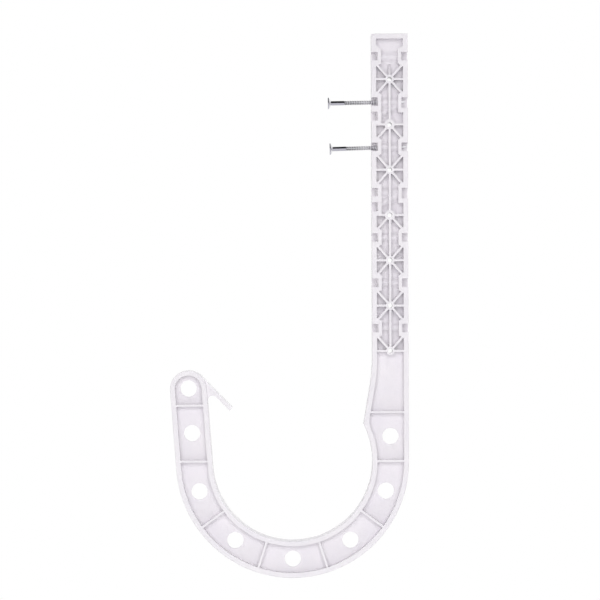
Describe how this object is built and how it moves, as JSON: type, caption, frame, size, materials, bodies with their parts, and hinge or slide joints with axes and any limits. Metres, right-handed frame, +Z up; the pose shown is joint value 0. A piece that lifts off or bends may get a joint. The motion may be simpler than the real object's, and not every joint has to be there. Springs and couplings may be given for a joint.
{
  "type": "pipe hanger hook",
  "caption": "J-shaped moulded plastic hook with a ribbed nailing shaft that hangs a drain pipe from a joist, with ring-shank nails held ready in its guides",
  "frame": {"origin": "on the axis of the pipe that the bowl holds, at mid thickness", "axes": "+Z up along the shaft as the hanger is nailed up, +X to the joist, +Y along the pipe, away from the viewer; the front with the open nail notches faces -Y"},
  "size_m": [0.1338, 0.016, 0.3048],
  "materials": {
    "plastic": "white moulded plastic with a soft satin surface",
    "steel": "bright wire steel with rolled rings"
  },
  "bodies": {
    "root": {"hook": "plastic", "nails": "steel"}
  },
  "joints": []
}
